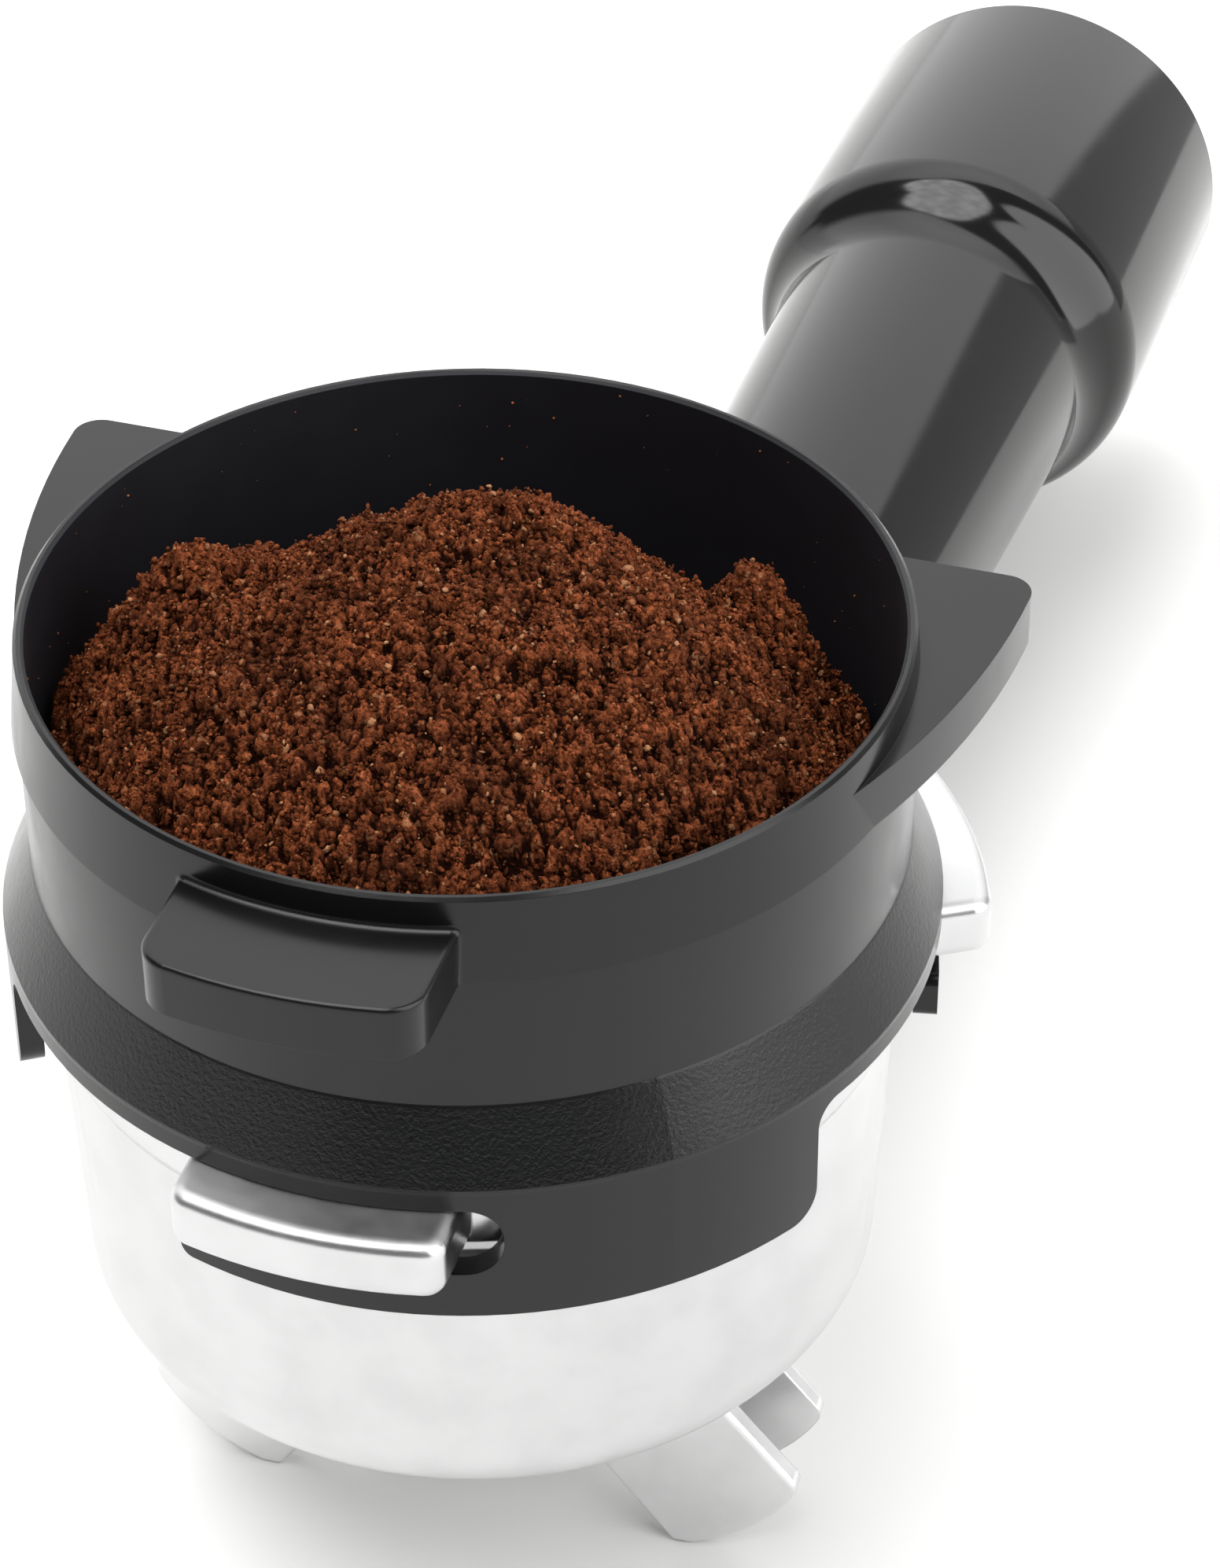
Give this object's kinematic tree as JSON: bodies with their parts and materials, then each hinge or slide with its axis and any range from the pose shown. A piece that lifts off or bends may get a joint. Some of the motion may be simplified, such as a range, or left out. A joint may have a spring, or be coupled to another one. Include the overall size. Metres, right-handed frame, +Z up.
{
  "type": "espresso portafilter with dosing funnel",
  "caption": "Espresso machine portafilter with a black handle and open spout, its basket heaped with ground coffee inside a lock-on dosing funnel.",
  "frame": {"origin": "on the axis of the head, at the level of the tops of the three bayonet lugs", "axes": "+Z up along the axis of the head, +X towards the handle, in the plane that halves the front lug"},
  "size_m": [0.1992, 0.072, 0.0878],
  "materials": {
    "cast_aluminium": "polished casting",
    "black_handle": "satin moulded thermoset",
    "black_funnel": "fine matt texture",
    "stainless": "polished stainless sheet and wire",
    "zinc_steel": "plated steel hardware",
    "black_rubber": "matt rubber",
    "ground_coffee": "loose grounds"
  },
  "bodies": {
    "portafilter": {"head_body": "cast_aluminium", "spout": "cast_aluminium", "spout_gasket": "black_rubber", "spout_screw": "zinc_steel", "filter_basket": "stainless", "basket_spring": "stainless", "coffee_grounds": "ground_coffee", "neck_ring": "black_rubber", "handle_body": "black_handle", "end_cap": "black_handle", "handle_rod": "zinc_steel", "handle_washer": "zinc_steel", "spring_washer": "zinc_steel", "handle_nut": "zinc_steel", "index_pin": "zinc_steel"},
    "funnel": {"dosing_funnel": "black_funnel"}
  },
  "joints": [
    {"name": "funnel_twist", "type": "hinge", "parent": "portafilter", "child": "funnel", "pos_m": [0, 0, 0], "axis": [0, 0, 1], "range_deg": [-2.5, 38.5]}
  ]
}
